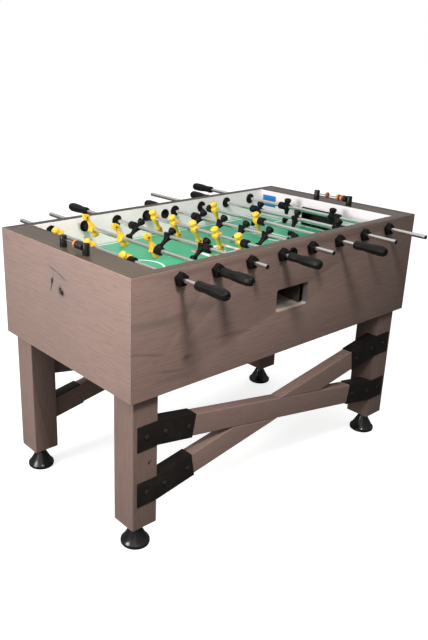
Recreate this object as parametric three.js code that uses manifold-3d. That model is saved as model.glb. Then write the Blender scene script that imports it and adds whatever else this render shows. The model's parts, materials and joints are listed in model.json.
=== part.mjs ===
// Foosball table with eight steel rods and twenty-six men.
//
// Millimetres, +Z up, floor at Z = 0. The long sides lie along X. The front long side faces -Y.
// The origin is on the floor under the middle of the whole footprint, rods and handles included.
// The cabinet itself is drawn about its own middle, and the last lines move everything by one shift.
//
// Rods are numbered 1 to 8 from the left end (-X). Each rod slides along Y and turns about its axis.

import * as THREE from 'three';
import { mergeVertices } from 'three/addons/utils/BufferGeometryUtils.js';
import Module from 'manifold-3d';

const wasm = await Module();
wasm.setup();

// ---------------------------------------------------------------- driving dimensions

const GAP = 0.3;                    // air left between pieces that touch

const CABINET = { length: 1422, width: 762, bottom: 570, top: 968, wall: 36 };
const GOAL_WALL = { inner: 604, thick: 18, mouthWidth: 200, mouthTop: 929 };
const TOP_BOARD_THICK = 18;
const PLAYFIELD = { top: 850, thick: 12 };
const CABINET_FLOOR_THICK = 12;

const ROD = { count: 8, pitch: 151.2, axisZ: 934, radius: 8, bore: 5.5 };
const BEARING = { bore: 9.2, flangeRadius: 22.5, flangeProud: 6, cupRadius: 24, cupProud: 18 };
const SERVE = { x: -22, z: 928, bore: 17.7, flangeRadius: 20.5, flangeProud: 3, cupRadius: 21, cupProud: 6 };

const BUMPER = { length: 28, radius: 15.5, bore: 8.8 };
const HANDLE = { length: 128, bore: 9.2, rodDepth: 104, boreSlack: 3 };
const HANDLE_CLEARANCE = 1.5;       // left between handle and bearing cup at the end of the travel
const BARE_END_REACH = 367;         // where the bare rod end stands at the end of the travel
const MAN = {
  halfWidth: 12.5, hubRadius: 13, legHalfWidth: 9.5, headRadius: 16, headHalfHeight: 13, headZ: 24,
};

const LEG = { side: 101, insetX: 25, insetY: 23, bottom: 88, corner: 6, studBore: 9.5, studBoreDepth: 50 };
const LEVELER = {
  floorRadius: 46, baseRadius: 50, shoulderRadius: 43, neckRadius: 16, studRadius: 8, studTop: 118,
};
const STRETCHER = { height: 80, depth: 45, crossZ: 323, rise: 102 };
const BRACKET = { steel: 3, legOverlap: 84, beamOverlap: 155 };

const RETURN_MOUTH = { x0: -85, x1: 78, z0: 727, z1: 808, corner: 9, lip: 22, pocket: 12 };
const CHUTE = { x0: -70, x1: 60, sheet: 4, sideHeight: 60, backY: 100, slope: 4 };
const RETURN_RAMP = { halfWidth: 96, slope: 2, lipHeight: 26 };

const SCORE = { postRadius: 12, postHeight: 39, railRadius: 2.5, railRise: 25 };
const BEAD = { radius: 13.5, edgeRadius: 11.5, pitch: 10, bore: 3.4 };

// The men's spacing along the rod, how many there are, and the team's colour.
const GOALIE = { men: 3, spacing: 203 };
const ATTACK = { men: 3, spacing: 183 };
const MIDFIELD = { men: 5, spacing: 119.5 };
const DEFENCE = { men: 2, spacing: 241.5 };

// centre: where the middle of the row of men rests. turn: degrees about +Y, head towards +X.
// side: -1 where the handle is at the front, +1 where it is at the back.
// The yellow team faces +X, and the black team faces -X.
const RODS = [
  { row: GOALIE, team: 'yellow', side: -1, centre: 80, turn: -50, longerHandleEnd: 41, longerBareEnd: 20 },
  { row: ATTACK, team: 'yellow', side: -1, centre: 110, turn: 150 },
  { row: ATTACK, team: 'black', side: 1, centre: 29, turn: 48, longerHandleEnd: 4 },
  { row: MIDFIELD, team: 'yellow', side: -1, centre: 54, turn: -25, longerHandleEnd: 10 },
  { row: MIDFIELD, team: 'black', side: 1, centre: -51, turn: 48 },
  { row: DEFENCE, team: 'yellow', side: -1, centre: 138, turn: -20, longerHandleEnd: 12 },
  { row: GOALIE, team: 'black', side: 1, centre: -55, turn: 22, longerHandleEnd: 4 },
  { row: DEFENCE, team: 'black', side: 1, centre: 1, turn: 4, longerHandleEnd: 16 },
];

// How many flats stand in for each kind of circle.
const FLATS = {
  rod: 12, hub: 10, headRound: 8, headRise: 5, ring: 12, serve: 16, leveler: 16, socket: 8,
  post: 12, bead: 12, grip: 8, rail: 6,
};

// ---------------------------------------------------------------- worked-out dimensions

const HALF_L = CABINET.length / 2;
const HALF_W = CABINET.width / 2;
const INNER_X = HALF_L - CABINET.wall;
const INNER_Y = HALF_W - CABINET.wall;
const PLAYFIELD_BOTTOM = PLAYFIELD.top - PLAYFIELD.thick;
const GOAL_WALL_OUTER = GOAL_WALL.inner + GOAL_WALL.thick;
const LEG_X = HALF_L - LEG.insetX - LEG.side / 2;
const LEG_Y = HALF_W - LEG.insetY - LEG.side / 2;
const LEG_INNER_X = LEG_X - LEG.side / 2;
const LEG_FACE_Y = LEG_Y + LEG.side / 2;

const radians = THREE.MathUtils.degToRad;
const rodX = (index) => (index - (ROD.count - 1) / 2) * ROD.pitch;

function rodLayout(rod) {
  const halfSpan = ((rod.row.men - 1) * rod.row.spacing) / 2;
  const bumperInner = halfSpan + MAN.halfWidth;
  const travel = INNER_Y - BEARING.flangeProud - BUMPER.length - bumperInner;
  const cupFace = HALF_W + BEARING.cupProud;
  const handleInner = travel + cupFace + HANDLE_CLEARANCE + (rod.longerHandleEnd ?? 0);
  return {
    halfSpan,
    bumperInner,
    handleInner,
    handleTip: handleInner + HANDLE.length,
    bareEnd: travel + BARE_END_REACH + (rod.longerBareEnd ?? 0),
  };
}

// ---------------------------------------------------------------- materials

function finish(color, roughness, metalness = 0) {
  return new THREE.MeshStandardMaterial({ color, roughness, metalness });
}

const FINISHES = {
  wood: () => finish(0x8a7870, 0.55),
  laminate: () => finish(0xeeece6, 0.35),
  field: () => finish(0x55b98a, 0.4),
  board: () => finish(0x5b4a40, 0.7),
  steel: () => finish(0xc9c6c1, 0.2, 1),
  rubber: () => finish(0x1c1c1d, 0.8),
  grip: () => finish(0x232322, 0.6),
  bracket: () => finish(0x1d1b19, 0.5, 0.6),
  post: () => finish(0x24231f, 0.5),
  bead: () => finish(0xcf7a48, 0.4),
};

// ---------------------------------------------------------------- geometry helpers

function boxBetween(x0, x1, y0, y1, z0, z1) {
  const geometry = new THREE.BoxGeometry(x1 - x0, y1 - y0, z1 - z0);
  return geometry.translate((x0 + x1) / 2, (y0 + y1) / 2, (z0 + z1) / 2);
}

function outline(points) {
  return new THREE.Shape(points.map(([x, y]) => new THREE.Vector2(x, y)));
}

// An outline in X and Y, pulled up from z0 to z1.
function prismZ(shape, z0, z1, curveSegments = 4) {
  const options = { depth: z1 - z0, bevelEnabled: false, curveSegments };
  return new THREE.ExtrudeGeometry(shape, options).translate(0, 0, z0);
}

// An outline in X and Z, pulled along Y from y0 to y1.
function prismY(points, y0, y1) {
  const options = { depth: y1 - y0, bevelEnabled: false };
  const geometry = new THREE.ExtrudeGeometry(outline(points), options);
  return geometry.rotateX(Math.PI / 2).translate(0, y1, 0);
}

// A round bar along Y.
function barY(radius, y0, y1, segments) {
  return new THREE.CylinderGeometry(radius, radius, y1 - y0, segments).translate(0, (y0 + y1) / 2, 0);
}

// A turned piece about the Y axis, from [radius, y] pairs that close on themselves or meet the axis.
function turned(profile, segments) {
  return new THREE.LatheGeometry(profile.map(([r, y]) => new THREE.Vector2(r, y)), segments);
}

function toSolid(geometry) {
  const bare = geometry.clone();
  bare.deleteAttribute('normal');
  bare.deleteAttribute('uv');
  const merged = mergeVertices(bare, 1e-3);
  return new wasm.Manifold(new wasm.Mesh({
    numProp: 3,
    vertProperties: new Float32Array(merged.attributes.position.array),
    triVerts: new Uint32Array(merged.index.array),
  }));
}

function toGeometry(manifold) {
  const { vertProperties, triVerts } = manifold.getMesh();
  const geometry = new THREE.BufferGeometry();
  geometry.setAttribute('position', new THREE.BufferAttribute(vertProperties, 3));
  geometry.setIndex(new THREE.BufferAttribute(triVerts, 1));
  geometry.computeVertexNormals();
  return geometry;
}

function join(geometries) {
  return geometries.map(toSolid).reduce((whole, piece) => whole.add(piece));
}

function cut(body, tools) {
  return tools.map(toSolid).reduce((whole, tool) => whole.subtract(tool), body);
}

// ---------------------------------------------------------------- the table's scene graph

const table = new THREE.Group();

function addMesh(parent, name, geometry, finishName) {
  const mesh = new THREE.Mesh(geometry, FINISHES[finishName]());
  mesh.name = name;
  parent.add(mesh);
  return mesh;
}

// ---------------------------------------------------------------- cabinet

const SIDES = [{ name: 'front', sign: -1 }, { name: 'back', sign: 1 }];
const ENDS = [{ name: 'left', sign: -1 }, { name: 'right', sign: 1 }];

// A long wall with mitred ends, drawn on the front side with its outer face at Y = -HALF_W.
function sidePanelBlank() {
  const mitred = outline([
    [-HALF_L + GAP, -HALF_W],
    [HALF_L - GAP, -HALF_W],
    [INNER_X - GAP, -INNER_Y],
    [-INNER_X + GAP, -INNER_Y],
  ]);
  return prismZ(mitred, CABINET.bottom, CABINET.top);
}

// The flange inside and the five-sided cup outside that each rod runs in.
function bearingBoss(x) {
  const flange = barY(BEARING.flangeRadius, -INNER_Y - GAP, -INNER_Y + BEARING.flangeProud, FLATS.ring);
  const cup = barY(BEARING.cupRadius, -HALF_W - BEARING.cupProud, -HALF_W + GAP, 5);
  return [flange, cup].map((geometry) => geometry.translate(x, 0, ROD.axisZ));
}

function serveBoss() {
  const flange = barY(SERVE.flangeRadius, -INNER_Y - GAP, -INNER_Y + SERVE.flangeProud, FLATS.serve);
  const cup = barY(SERVE.cupRadius, -HALF_W - SERVE.cupProud, -HALF_W + GAP, FLATS.serve);
  return [flange, cup].map((geometry) => geometry.translate(SERVE.x, 0, SERVE.z));
}

function wallHoles() {
  const y0 = -HALF_W - 2 * BEARING.cupProud;
  const y1 = -INNER_Y + 2 * BEARING.cupProud;
  const hole = (radius, flats, x, z) => barY(radius, y0, y1, flats).translate(x, 0, z);
  const rodHoles = RODS.map((_, index) => hole(BEARING.bore, FLATS.ring, rodX(index), ROD.axisZ));
  return [...rodHoles, hole(SERVE.bore, FLATS.serve, SERVE.x, SERVE.z)];
}

// The mouth where the balls come out: a window with rounded corners, and a wider pocket behind its lip.
function returnMouth() {
  const { x0, x1, z0, z1, corner, lip, pocket } = RETURN_MOUTH;
  const corners = [
    [x1 - corner, z1 - corner, 0],
    [x0 + corner, z1 - corner, 90],
    [x0 + corner, z0 + corner, 180],
    [x1 - corner, z0 + corner, 270],
  ];
  const points = corners.flatMap(([x, z, from]) => [0, 45, 90].map((step) => {
    const angle = radians(from + step);
    return [x + corner * Math.cos(angle), z + corner * Math.sin(angle)];
  }));
  const outside = -HALF_W - lip;
  const behind = -INNER_Y + lip;
  const mouth = prismY(points, outside, behind);
  const inside = boxBetween(
    x0 - pocket, x1 + pocket, -HALF_W + lip, behind, z0 - pocket, z1 + pocket,
  );
  return [mouth, inside];
}

function addSidePanels() {
  const bosses = [...RODS.flatMap((_, index) => bearingBoss(rodX(index))), ...serveBoss()];
  const wall = cut(join([sidePanelBlank(), ...bosses]), wallHoles());
  const front = wall.subtract(join(returnMouth()));
  addMesh(table, 'front_side_panel', toGeometry(front), 'wood');
  const back = addMesh(table, 'back_side_panel', toGeometry(wall), 'wood');
  back.rotation.z = Math.PI;
}

function addEnd({ name, sign }) {
  const end = new THREE.Group();
  end.rotation.z = sign < 0 ? 0 : Math.PI;
  table.add(end);

  const mitred = outline([
    [-HALF_L, -HALF_W + GAP],
    [-INNER_X, -INNER_Y + GAP],
    [-INNER_X, INNER_Y - GAP],
    [-HALF_L, HALF_W - GAP],
  ]);
  addMesh(end, `${name}_end_panel`, prismZ(mitred, CABINET.bottom, CABINET.top), 'wood');

  const boardBottom = CABINET.top - TOP_BOARD_THICK;
  const y = INNER_Y - GAP;
  const board = boxBetween(-INNER_X + GAP, -GOAL_WALL_OUTER - GAP, -y, y, boardBottom, CABINET.top);
  addMesh(end, `${name}_top_board`, board, 'wood');

  const wall = boxBetween(-GOAL_WALL_OUTER, -GOAL_WALL.inner, -y, y, PLAYFIELD_BOTTOM, CABINET.top);
  const half = GOAL_WALL.mouthWidth / 2;
  const past = GOAL_WALL.thick;
  const mouth = boxBetween(
    -GOAL_WALL_OUTER - past, -GOAL_WALL.inner + past, -half, half, PLAYFIELD.top, GOAL_WALL.mouthTop,
  );
  addMesh(end, `${name}_goal_wall`, toGeometry(cut(toSolid(wall), [mouth])), 'laminate');
}

function addBoards() {
  const fieldX = GOAL_WALL.inner - GAP;
  const y = INNER_Y - GAP;
  const field = boxBetween(-fieldX, fieldX, -y, y, PLAYFIELD_BOTTOM, PLAYFIELD.top);
  addMesh(table, 'playfield', field, 'field');

  const floorX = INNER_X - GAP;
  const floorTop = CABINET.bottom + CABINET_FLOOR_THICK;
  addMesh(table, 'cabinet_floor', boxBetween(-floorX, floorX, -y, y, CABINET.bottom, floorTop), 'board');
}

// ---------------------------------------------------------------- ball return

// A trough that falls from behind the goals to the middle, and from there to the mouth in the front wall.
function addBallReturn() {
  const { x0, x1, sheet, sideHeight, backY, slope } = CHUTE;
  const frontY = -HALF_W + RETURN_MOUTH.lip + GAP;
  const frontZ = RETURN_MOUTH.z0;
  const backZ = frontZ + (backY - frontY) * Math.tan(radians(slope));
  const lip = RETURN_RAMP.lipHeight;

  // The chute's side view, in Y and Z, pulled along X: a floor, and a taller plate on each side.
  const sloping = (height, from, to) => {
    const points = [
      [frontY, frontZ - sheet], [backY, backZ - sheet], [backY, backZ + height], [frontY, frontZ + height],
    ];
    const options = { depth: to - from, bevelEnabled: false };
    const geometry = new THREE.ExtrudeGeometry(outline(points), options);
    return geometry.rotateX(Math.PI / 2).rotateZ(Math.PI / 2).translate(from, 0, 0);
  };
  const chuteFloor = sloping(0, x0, x1);
  const chuteSides = [[x0 - sheet, x0 + GAP], [x1 - GAP, x1 + sheet]]
    .map(([from, to]) => sloping(sideHeight, from, to));

  // A ramp from the end panel to the chute, with a lip on each side.
  const ramp = (sign) => {
    const inner = sign < 0 ? x0 : x1;
    const outer = sign * (INNER_X - GAP);
    const rise = Math.abs(outer - inner) * Math.tan(radians(RETURN_RAMP.slope));
    const strip = (from, to, height) => {
      const low = backZ - sheet / 2;
      const view = [[inner, low], [outer, low + rise], [outer, low + rise + height], [inner, low + height]];
      return prismY(sign < 0 ? view.reverse() : view, from, to);
    };
    const w = RETURN_RAMP.halfWidth;
    return [strip(-w, w, sheet), strip(-w - sheet, -w + GAP, lip), strip(w - GAP, w + sheet, lip)];
  };

  const sheets = join([chuteFloor, ...chuteSides, ...ramp(-1), ...ramp(1)]);
  const ballWay = [-1, 1].map((sign) => {
    const wallX = sign < 0 ? x0 : x1;
    const w = RETURN_RAMP.halfWidth;
    const above = backZ + 2 * sideHeight;
    return boxBetween(wallX - 2 * sheet, wallX + 2 * sheet, -w, w, backZ + sheet / 2, above);
  });
  const backStop = boxBetween(x0 - sheet, x1 + sheet, backY - GAP, backY + sheet, backZ - sheet, backZ + lip);
  addMesh(table, 'ball_return_tray', toGeometry(cut(sheets, ballWay).add(toSolid(backStop))), 'board');
}

// ---------------------------------------------------------------- legs, levelers, stretchers, brackets

function roundedSquare(side, corner) {
  const h = side / 2;
  const shape = new THREE.Shape();
  shape.absarc(h - corner, h - corner, corner, 0, Math.PI / 2);
  shape.absarc(-h + corner, h - corner, corner, Math.PI / 2, Math.PI);
  shape.absarc(-h + corner, -h + corner, corner, Math.PI, 1.5 * Math.PI);
  shape.absarc(h - corner, -h + corner, corner, 1.5 * Math.PI, 2 * Math.PI);
  return shape;
}

// Turned pieces are drawn about Y, so a piece that stands up is laid back by a quarter turn.
const stand = (geometry) => geometry.rotateX(Math.PI / 2);

function addLegAndLeveler(side, end) {
  const place = new THREE.Group();
  place.position.set(end.sign * LEG_X, side.sign * LEG_Y, 0);
  table.add(place);

  const post = prismZ(roundedSquare(LEG.side, LEG.corner), LEG.bottom, CABINET.bottom - GAP, 2);
  const socket = stand(barY(LEG.studBore, LEG.bottom - 1, LEG.bottom + LEG.studBoreDepth, FLATS.socket));
  addMesh(place, `leg_${side.name}_${end.name}`, toGeometry(cut(toSolid(post), [socket])), 'wood');

  const top = LEG.bottom - GAP;
  const { baseRadius, floorRadius, shoulderRadius, neckRadius, studRadius, studTop } = LEVELER;
  const profile = [
    [0, 0], [floorRadius, 0], [baseRadius, 5], [baseRadius, 13], [shoulderRadius, 23],
    [neckRadius, 70], [neckRadius, top], [studRadius, top], [studRadius, studTop], [0, studTop],
  ];
  addMesh(place, `leveler_${side.name}_${end.name}`, stand(turned(profile, FLATS.leveler)), 'grip');
}

// The centre height of a stretcher at x. fall is +1 where it drops towards +X, and -1 where it rises.
const stretcherZ = (x, fall) => STRETCHER.crossZ - (fall * STRETCHER.rise * x) / LEG_INNER_X;
const STRETCHER_ANGLE = Math.atan(STRETCHER.rise / LEG_INNER_X);
const STRETCHER_HALF_Z = STRETCHER.height / 2 / Math.cos(STRETCHER_ANGLE);

// A slanted bar in X and Z whose ends stand upright. extra makes it taller above and below.
function slantedBar(x0, x1, fall, y0, y1, extra = 0) {
  const half = STRETCHER_HALF_Z + extra;
  const points = [
    [x0, stretcherZ(x0, fall) - half],
    [x1, stretcherZ(x1, fall) - half],
    [x1, stretcherZ(x1, fall) + half],
    [x0, stretcherZ(x0, fall) + half],
  ];
  return prismY(points, y0, y1);
}

// Two crossed stretchers, half-lapped so that their faces are flush.
function addStretchers(group, sideName) {
  const x = LEG_INNER_X - GAP;
  const y0 = -LEG_FACE_Y;
  const y1 = y0 + STRETCHER.depth;
  const middle = (y0 + y1) / 2;
  const whole = (fall) => toSolid(slantedBar(-x, x, fall, y0, y1));
  const lap = (fall, from, to) => toSolid(slantedBar(-x, x, fall, from, to, GAP));
  const falling = whole(1).subtract(lap(-1, middle, y1 + 1));
  const rising = whole(-1).subtract(lap(1, y0 - 1, middle + GAP));
  addMesh(group, `stretcher_${sideName}_falling`, toGeometry(falling), 'wood');
  addMesh(group, `stretcher_${sideName}_rising`, toGeometry(rising), 'wood');
}

// A steel channel over the stretcher's end, whose face plate runs on across the leg. Drawn at -X.
function bracketSolid(fall) {
  const { steel, legOverlap, beamOverlap } = BRACKET;
  const face = -LEG_FACE_Y - GAP;
  const legX = -LEG_INNER_X;
  const reach = STRETCHER_HALF_Z + GAP;
  const half = reach + steel;
  const lean = (fall * STRETCHER.rise) / LEG_INNER_X;
  const endX = legX + beamOverlap;
  const square = half * lean;
  const centre = (x) => stretcherZ(x, fall);
  const plate = prismY([
    [legX - legOverlap, centre(legX) - half],
    [legX, centre(legX) - half],
    [endX - square, centre(endX - square) - half],
    [endX + square, centre(endX + square) + half],
    [legX, centre(legX) + half],
    [legX - legOverlap, centre(legX) + half],
  ], face - steel, face);
  const flange = (sign) => {
    const near = sign * reach;
    const far = sign * half;
    const tip = endX + sign * square;
    const points = [
      [legX + GAP, centre(legX + GAP) + near],
      [tip, centre(tip) + near],
      [tip, centre(tip) + far],
      [legX + GAP, centre(legX + GAP) + far],
    ];
    return prismY(sign < 0 ? points.reverse() : points, face - steel / 2, -LEG_FACE_Y + STRETCHER.depth);
  };
  return join([plate, flange(1), flange(-1)]);
}

function mirrored(geometry) {
  const flipped = geometry.clone().scale(-1, 1, 1);
  const index = flipped.index.array;
  for (let i = 0; i < index.length; i += 3) {
    [index[i], index[i + 1]] = [index[i + 1], index[i]];
  }
  return flipped;
}

function addUnderframeSide(side) {
  const group = new THREE.Group();
  group.rotation.z = side.sign < 0 ? 0 : Math.PI;
  table.add(group);
  addStretchers(group, side.name);
  for (const end of ENDS) {
    // The back side is the front side turned half round, so its -X end is the table's right end.
    const atMinusX = end.sign * side.sign > 0;
    for (const [level, height] of [['upper', 1], ['lower', -1]]) {
      const steel = toGeometry(bracketSolid(height));
      const geometry = atMinusX ? steel : mirrored(steel);
      addMesh(group, `bracket_${side.name}_${end.name}_${level}`, geometry, 'bracket');
    }
  }
}

// ---------------------------------------------------------------- score counters

function scoreRack(spacing) {
  const half = spacing / 2;
  const post = (y) => stand(barY(SCORE.postRadius, GAP, SCORE.postHeight, FLATS.post)).translate(0, y, 0);
  const rail = barY(SCORE.railRadius, -half, half, FLATS.rail).translate(0, 0, SCORE.railRise);
  return toGeometry(join([post(-half), post(half), rail]));
}

// A row of flat round beads that touch, each with a rounded rim.
function beadRow(count) {
  const { radius, edgeRadius, pitch, bore } = BEAD;
  const rims = Array.from({ length: count }, (_, i) => [
    [edgeRadius, i * pitch], [radius, i * pitch + pitch / 2],
  ]).flat();
  const end = count * pitch;
  return turned([[bore, 0], ...rims, [edgeRadius, end], [bore, end], [bore, 0]], FLATS.bead);
}

// spacing: between the posts. beads: each row's name, its count, and how far it starts from the near post.
function addScoreCounter({ rackName, x, y, spacing, beads }) {
  const group = new THREE.Group();
  group.position.set(x, y, CABINET.top);
  table.add(group);
  addMesh(group, rackName, scoreRack(spacing), 'post');
  const nearPostFace = -spacing / 2 + SCORE.postRadius;
  for (const { name, count, start } of beads) {
    const row = addMesh(group, name, beadRow(count), 'bead');
    row.position.set(0, nearPostFace + start, SCORE.railRise);
  }
}

const SCORE_COUNTERS = [
  {
    rackName: 'score_rack_left', x: -676, y: -39, spacing: 130,
    beads: [{ name: 'score_beads_left', count: 5, start: GAP }],
  },
  {
    rackName: 'score_rack_right', x: 630, y: -38, spacing: 168,
    beads: [
      { name: 'score_beads_right', count: 5, start: GAP },
      { name: 'score_bead_right', count: 1, start: 96 },
    ],
  },
];

// ---------------------------------------------------------------- rods, men, bumpers, handles

// A man on the rod, facing +X: a round head, a hub round the rod, and a leg with a wedge foot.
function man() {
  const { halfWidth, hubRadius, legHalfWidth, headRadius, headHalfHeight, headZ } = MAN;
  const head = new THREE.SphereGeometry(1, FLATS.headRound, FLATS.headRise).rotateX(Math.PI / 2);
  head.scale(headRadius, headRadius, headHalfHeight).translate(0, 0, headZ);
  const hub = barY(hubRadius, -halfWidth, halfWidth, FLATS.hub);
  const figure = prismY([
    [-5, -42], [-10, -50], [5, -72.8], [9, -72.3], [14, -50], [6, -42],
    [6.5, -28], [11, -4], [8, 18], [-8, 18], [-11, -4], [-6.5, -28],
  ], -legHalfWidth, legHalfWidth);
  return [head, hub, figure];
}

function bumperRing(innerRadius) {
  const { length, radius } = BUMPER;
  const profile = [[innerRadius, 0], [radius, 0], [radius, length], [innerRadius, length], [innerRadius, 0]];
  return turned(profile, FLATS.ring);
}

// An eight-sided grip about Y: blind bore at y = 0 where the rod enters, round end at y = length.
function handleGrip() {
  const { length, bore, rodDepth, boreSlack } = HANDLE;
  const boreEnd = rodDepth + boreSlack;
  return turned([
    [bore, 0], [12.5, 0], [15.8, 5], [15.8, 18], [14.2, 36], [16.8, 62], [17.8, 85], [17.8, 112],
    [15.5, 123], [10.5, length], [0, length], [0, boreEnd], [bore, boreEnd], [bore, 0],
  ], FLATS.grip);
}

function addRod(rod, index) {
  const { halfSpan, bumperInner, handleInner, bareEnd } = rodLayout(rod);
  const name = `rod_${index + 1}`;
  const line = new THREE.Group();
  line.position.set(rodX(index), rod.centre, ROD.axisZ);
  line.rotation.y = radians(rod.turn);
  table.add(line);

  // Along the rod, +Y is the handle's side if side is +1.
  const ends = [rod.side * (handleInner + HANDLE.rodDepth), -rod.side * bareEnd].sort((a, b) => a - b);
  const { radius, bore } = ROD;
  const tube = barY(radius, ends[0], ends[1], FLATS.rod);
  const places = Array.from({ length: rod.row.men }, (_, i) => -halfSpan + i * rod.row.spacing);
  const facing = rod.team === 'yellow' ? 0 : Math.PI;
  const men = places.flatMap((y) => man().map((piece) => piece.rotateZ(facing).translate(0, y, 0)));
  const farBumper = bumperRing(radius - 1);
  farBumper.translate(0, rod.side > 0 ? -bumperInner - BUMPER.length : bumperInner, 0);
  const rodBore = barY(bore, ends[0] - 1, ends[1] + 1, FLATS.rod);
  const whole = cut(join([tube, ...men, farBumper]), [rodBore]);
  addMesh(line, name, toGeometry(whole), 'steel');

  const nearBumper = addMesh(line, `${name}_bumper`, bumperRing(BUMPER.bore), 'rubber');
  nearBumper.position.y = rod.side > 0 ? bumperInner + GAP : -bumperInner - BUMPER.length - GAP;

  const handle = addMesh(line, `${name}_handle`, handleGrip(), 'grip');
  handle.rotation.x = rod.side > 0 ? 0 : Math.PI;
  handle.position.y = rod.side * handleInner;
}

// ---------------------------------------------------------------- assembly

addSidePanels();
ENDS.forEach(addEnd);
addBoards();
addBallReturn();
SIDES.forEach((side) => ENDS.forEach((end) => addLegAndLeveler(side, end)));
SIDES.forEach(addUnderframeSide);
SCORE_COUNTERS.forEach(addScoreCounter);
RODS.forEach(addRod);

// The footprint runs from the handle that stands out furthest at the front to the one at the back.
const handleTips = RODS.map((rod) => rod.centre + rod.side * rodLayout(rod).handleTip);
table.position.y = -(Math.min(...handleTips) + Math.max(...handleTips)) / 2;

const part = new THREE.Group();
part.add(table);

export default part;
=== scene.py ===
"""Visual model of a foosball table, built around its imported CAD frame. Metres, +Z up."""

import json
import math

import bmesh
import bpy
from mathutils import Matrix, Vector


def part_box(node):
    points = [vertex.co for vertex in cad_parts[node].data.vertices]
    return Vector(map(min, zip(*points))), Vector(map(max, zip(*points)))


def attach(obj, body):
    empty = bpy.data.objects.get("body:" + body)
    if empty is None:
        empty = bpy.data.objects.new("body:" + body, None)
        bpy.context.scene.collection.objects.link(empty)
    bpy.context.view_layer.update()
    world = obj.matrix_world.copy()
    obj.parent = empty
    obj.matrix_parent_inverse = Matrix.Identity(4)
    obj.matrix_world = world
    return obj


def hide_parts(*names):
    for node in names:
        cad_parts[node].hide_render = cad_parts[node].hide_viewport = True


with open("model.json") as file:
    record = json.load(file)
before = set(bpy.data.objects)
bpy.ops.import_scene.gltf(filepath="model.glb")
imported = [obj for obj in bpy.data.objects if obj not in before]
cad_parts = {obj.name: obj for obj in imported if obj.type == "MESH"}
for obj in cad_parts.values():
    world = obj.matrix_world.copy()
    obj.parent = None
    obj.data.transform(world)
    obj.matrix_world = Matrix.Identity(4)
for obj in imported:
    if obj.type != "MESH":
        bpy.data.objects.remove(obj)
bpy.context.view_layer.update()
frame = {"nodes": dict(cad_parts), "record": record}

MM = 0.001
JOINTS = {joint["name"]: joint for joint in frame["record"]["behaviour"]["joints"]}

# ---------------- places read from the frame

GAP = 0.3 * MM
END_LO, END_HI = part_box("left_end_panel")
BOARD_LO, BOARD_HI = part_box("left_top_board")
FIELD_LO, FIELD_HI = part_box("playfield")
FRONT_LO, FRONT_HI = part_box("front_side_panel")

OUT_X = -END_LO.x
IN_X = -END_HI.x
OUT_FRONT, OUT_BACK = END_LO.y - GAP, END_HI.y + GAP
IN_FRONT, IN_BACK = BOARD_LO.y - GAP, BOARD_HI.y + GAP
BOTTOM_Z, TOP_Z = END_LO.z, END_HI.z
FIELD_Z = FIELD_HI.z
MIDDLE_Y = (OUT_FRONT + OUT_BACK) / 2

# Each rod's men, their spacing, team, handle side and turn, as on the CAD rods.
RODS = [dict(zip(("men", "spacing", "team", "side", "turn"), row)) for row in (
    (3, 0.203, "yellow", -1, -50),
    (3, 0.183, "yellow", -1, 150),
    (3, 0.183, "black", 1, 48),
    (5, 0.1195, "yellow", -1, -25),
    (5, 0.1195, "black", 1, 48),
    (2, 0.2415, "yellow", -1, -20),
    (3, 0.203, "black", 1, 22),
    (2, 0.2415, "black", 1, 4),
)]
for number, rod in enumerate(RODS, 1):
    rod["name"] = f"rod_{number}"
    rod["x"], rod["y"], rod["z"] = JOINTS[f"rod_{number}_spin"]["pos_m"]

ROD_RADIUS = 8 * MM
MAN_HALF_WIDTH = 12.5 * MM
BUMPER_LENGTH = 28 * MM
CUP_FACE = OUT_FRONT - FRONT_LO.y
FLANGE_FACE = FRONT_HI.y - IN_FRONT
SERVE_X, SERVE_Z = 0.022, 0.928
ROD_HOLE, SERVE_HOLE = 9.4 * MM, 18.2 * MM
WALL_EDGE = 1.8 * MM
PAST = 0.02  # how far a cutter goes past its wall
GOAL_HALF_WIDTH, GOAL_TOP_Z = 0.1, 0.929
RETURN_MOUTH = {"x0": -0.085, "x1": 0.078, "z0": 0.727, "z1": 0.808,
                "corner": 0.009, "lip": 0.022, "pocket": 0.012}

# ---------------- camera, light and floor


def add_camera():
    """The camera that was fitted to the photograph."""
    data = bpy.data.cameras.new("camera")
    data.lens = 40.457
    data.shift_x = 0.0991
    data.shift_y = -0.0186
    camera = link("camera", data)
    camera.location = (-1.88338, MIDDLE_Y - 1.90797, 1.58058)
    camera.rotation_euler = [math.radians(angle) for angle in (70.0463, -0.6569, -38.9178)]
    bpy.context.scene.camera = camera


def add_area(name, place, aim, size, power, color=(1, 1, 1), spread=180):
    data = bpy.data.lights.new(name, "AREA")
    data.shape = "RECTANGLE"
    data.size, data.size_y = size
    data.energy = power
    data.color = color
    data.spread = math.radians(spread)
    lamp = link(name, data)
    lamp.location = place
    lamp.rotation_euler = (Vector(aim) - Vector(place)).to_track_quat("-Z", "Y").to_euler()
    lamp.visible_camera = False


SKY_OVERHEAD, SKY_HORIZON = 1.45, 0.02
WARM = (1.0, 0.93, 0.89)


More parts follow.
